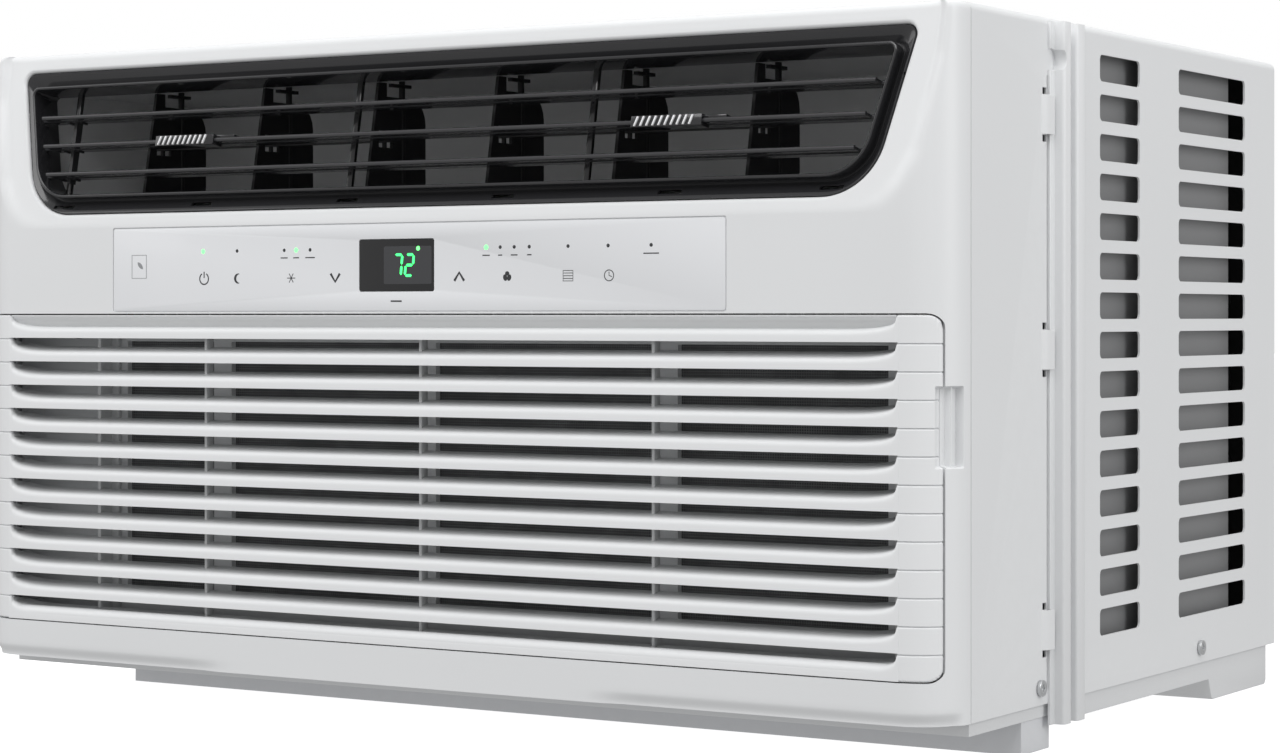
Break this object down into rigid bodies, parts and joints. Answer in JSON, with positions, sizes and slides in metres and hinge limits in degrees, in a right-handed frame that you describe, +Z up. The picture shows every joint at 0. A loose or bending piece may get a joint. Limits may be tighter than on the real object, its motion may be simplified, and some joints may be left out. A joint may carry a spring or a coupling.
{
  "type": "window air conditioner",
  "caption": "Compact window air conditioner: louvered outlet over a control strip and a tilt-out intake grille, vented steel cabinet with side rails, and a full cooling circuit inside.",
  "frame": {"origin": "middle of the footprint, at the height of the underside that stands on the sill", "axes": "+X to the right seen from the room, -Y into the room, +Z up"},
  "size_m": [0.553, 0.388, 0.322],
  "materials": {
    "case_white": "satin powder coat",
    "pan_steel": "satin powder coat",
    "rail_grey": "satin powder coat",
    "front_white": "fine satin",
    "grille_white": "fine satin",
    "filter_grey": "satin",
    "filter_net": "woven net",
    "louver_black": "semi-gloss",
    "blade_grey": "semi-gloss",
    "vane_black": "satin",
    "film": "smooth film",
    "window_black": "smooth",
    "digit_green": "lit",
    "led_green": "lit",
    "led_dark": "unlit",
    "board_green": "solder mask",
    "key_white": "satin",
    "duct_grey": "moulded foam and plastic",
    "fin_aluminium": "bare",
    "copper": "drawn tube",
    "zinc_steel": "zinc plated",
    "shaft_steel": "turned",
    "motor_grey": "painted",
    "compressor_black": "gloss enamel",
    "rubber_black": "moulded",
    "fan_plastic": "satin"
  },
  "bodies": {
    "case": {"base_pan": "pan_steel", "bottom_rail": "rail_grey", "cabinet": "case_white", "side_rail_left": "case_white", "side_rail_right": "case_white", "front_bezel": "front_white", "louver_frame": "louver_black", "discharge_duct": "duct_grey", "control_film": "film", "display_window": "window_black", "display_digits": "digit_green", "control_board": "board_green", "leds_lit": "led_green", "leds_dark": "led_dark", "evaporator_cover": "filter_grey", "evaporator_fins": "fin_aluminium", "evaporator_tubes": "copper", "drain_tray": "duct_grey", "blower_housing": "duct_grey", "fan_motor": "motor_grey", "motor_bracket": "zinc_steel", "partition": "pan_steel", "fan_shroud": "duct_grey", "condenser_fins": "fin_aluminium", "condenser_tubes": "copper", "compressor": "compressor_black", "compressor_mounts": "rubber_black", "refrigerant_pipes": "copper", "control_box": "zinc_steel", "run_capacitor": "zinc_steel", "cord_gland": "rubber_black", "case_screws": "zinc_steel"},
    "intake_grille": {"intake_grille": "grille_white"},
    "filter": {"filter_frame": "filter_grey", "filter_mesh": "filter_net"},
    "blade_upper": {"blade_upper": "blade_grey"},
    "blade_middle": {"blade_middle": "blade_grey"},
    "blade_lower": {"blade_lower": "blade_grey"},
    "blade_link": {"blade_link": "vane_black"},
    "vane_link_left": {"vane_link_left": "vane_black"},
    "vane_link_right": {"vane_link_right": "vane_black"},
    "vane_tab_left": {"vane_tab_left": "vane_black"},
    "vane_tab_right": {"vane_tab_right": "vane_black"},
    "fan_rotor": {"motor_shaft": "shaft_steel", "blower_wheel": "fan_plastic", "condenser_fan": "fan_plastic"},
    "vane_1": {"vane_1": "vane_black"},
    "vane_2": {"vane_2": "vane_black"},
    "vane_3": {"vane_3": "vane_black"},
    "vane_4": {"vane_4": "vane_black"},
    "vane_5": {"vane_5": "vane_black"},
    "vane_6": {"vane_6": "vane_black"},
    "key_power": {"key_power": "key_white"},
    "key_sleep": {"key_sleep": "key_white"},
    "key_mode": {"key_mode": "key_white"},
    "key_down": {"key_down": "key_white"},
    "key_up": {"key_up": "key_white"},
    "key_fan": {"key_fan": "key_white"},
    "key_filter": {"key_filter": "key_white"},
    "key_timer": {"key_timer": "key_white"}
  },
  "joints": [
    {"name": "grille_hinge", "type": "hinge", "parent": "case", "child": "intake_grille", "pos_m": [0, -0.1905, 0.0427], "axis": [1, 0, 0], "range_deg": [0, 50]},
    {"name": "filter_slide", "type": "slide", "parent": "intake_grille", "child": "filter", "axis": [0, 0, 1], "range_m": [0, 0.04]},
    {"name": "blade_middle_tilt", "type": "hinge", "parent": "case", "child": "blade_middle", "pos_m": [0, -0.18167, 0.27413], "axis": [1, 0, 0], "range_deg": [-25, 25]},
    {"name": "blade_upper_tilt", "type": "hinge", "parent": "case", "child": "blade_upper", "pos_m": [0, -0.17906, 0.28839], "axis": [1, 0, 0], "range_deg": [-25, 25]},
    {"name": "blade_lower_tilt", "type": "hinge", "parent": "case", "child": "blade_lower", "pos_m": [0, -0.18428, 0.25987], "axis": [1, 0, 0], "range_deg": [-25, 25]},
    {"name": "blade_link_swing", "type": "hinge", "parent": "blade_middle", "child": "blade_link", "pos_m": [-0.2295, -0.17675, 0.27323], "axis": [1, 0, 0], "range_deg": [-25, 25]},
    {"name": "vane_1_turn", "type": "hinge", "parent": "case", "child": "vane_1", "pos_m": [-0.17775, -0.146, 0.2745], "axis": [0, 0, 1], "range_deg": [-30, 30]},
    {"name": "vane_2_turn", "type": "hinge", "parent": "case", "child": "vane_2", "pos_m": [-0.10905, -0.146, 0.2745], "axis": [0, 0, 1], "range_deg": [-30, 30]},
    {"name": "vane_3_turn", "type": "hinge", "parent": "case", "child": "vane_3", "pos_m": [-0.04035, -0.146, 0.2745], "axis": [0, 0, 1], "range_deg": [-30, 30]},
    {"name": "vane_4_turn", "type": "hinge", "parent": "case", "child": "vane_4", "pos_m": [0.02835, -0.146, 0.2745], "axis": [0, 0, 1], "range_deg": [-30, 30]},
    {"name": "vane_5_turn", "type": "hinge", "parent": "case", "child": "vane_5", "pos_m": [0.09705, -0.146, 0.2745], "axis": [0, 0, 1], "range_deg": [-30, 30]},
    {"name": "vane_6_turn", "type": "hinge", "parent": "case", "child": "vane_6", "pos_m": [0.16575, -0.146, 0.2745], "axis": [0, 0, 1], "range_deg": [-30, 30]},
    {"name": "vane_link_left_swing", "type": "hinge", "parent": "vane_2", "child": "vane_link_left", "pos_m": [-0.10905, -0.16, 0.2745], "axis": [0, 0, 1], "range_deg": [-30, 30]},
    {"name": "vane_tab_left_slide", "type": "slide", "parent": "blade_middle", "child": "vane_tab_left", "axis": [1, 0, 0], "range_m": [-0.0075, 0.0075]},
    {"name": "vane_link_right_swing", "type": "hinge", "parent": "vane_5", "child": "vane_link_right", "pos_m": [0.09705, -0.16, 0.2745], "axis": [0, 0, 1], "range_deg": [-30, 30]},
    {"name": "vane_tab_right_slide", "type": "slide", "parent": "blade_middle", "child": "vane_tab_right", "axis": [1, 0, 0], "range_m": [-0.0075, 0.0075]},
    {"name": "key_power_press", "type": "slide", "parent": "case", "child": "key_power", "axis": [0, 1, 0], "range_m": [0, 0.0004], "stiffness_N_per_m": 3500},
    {"name": "key_sleep_press", "type": "slide", "parent": "case", "child": "key_sleep", "axis": [0, 1, 0], "range_m": [0, 0.0004], "stiffness_N_per_m": 3500},
    {"name": "key_mode_press", "type": "slide", "parent": "case", "child": "key_mode", "axis": [0, 1, 0], "range_m": [0, 0.0004], "stiffness_N_per_m": 3500},
    {"name": "key_down_press", "type": "slide", "parent": "case", "child": "key_down", "axis": [0, 1, 0], "range_m": [0, 0.0004], "stiffness_N_per_m": 3500},
    {"name": "key_up_press", "type": "slide", "parent": "case", "child": "key_up", "axis": [0, 1, 0], "range_m": [0, 0.0004], "stiffness_N_per_m": 3500},
    {"name": "key_fan_press", "type": "slide", "parent": "case", "child": "key_fan", "axis": [0, 1, 0], "range_m": [0, 0.0004], "stiffness_N_per_m": 3500},
    {"name": "key_filter_press", "type": "slide", "parent": "case", "child": "key_filter", "axis": [0, 1, 0], "range_m": [0, 0.0004], "stiffness_N_per_m": 3500},
    {"name": "key_timer_press", "type": "slide", "parent": "case", "child": "key_timer", "axis": [0, 1, 0], "range_m": [0, 0.0004], "stiffness_N_per_m": 3500},
    {"name": "motor_spin", "type": "hinge", "parent": "case", "child": "fan_rotor", "pos_m": [0.03, 0.006, 0.135], "axis": [0, 1, 0], "continuous": true}
  ],
  "couplings": [
    {"joint": "blade_upper_tilt", "follows": "blade_middle_tilt", "ratio": 1},
    {"joint": "blade_lower_tilt", "follows": "blade_middle_tilt", "ratio": 1},
    {"joint": "blade_link_swing", "follows": "blade_middle_tilt", "ratio": -1},
    {"joint": "vane_1_turn", "follows": "vane_2_turn", "ratio": 1},
    {"joint": "vane_3_turn", "follows": "vane_2_turn", "ratio": 1},
    {"joint": "vane_link_left_swing", "follows": "vane_2_turn", "ratio": -1},
    {"joint": "vane_tab_left_slide", "follows": "vane_2_turn", "m_per_rad": 0.014},
    {"joint": "vane_4_turn", "follows": "vane_5_turn", "ratio": 1},
    {"joint": "vane_6_turn", "follows": "vane_5_turn", "ratio": 1},
    {"joint": "vane_link_right_swing", "follows": "vane_5_turn", "ratio": -1},
    {"joint": "vane_tab_right_slide", "follows": "vane_5_turn", "m_per_rad": 0.014}
  ]
}
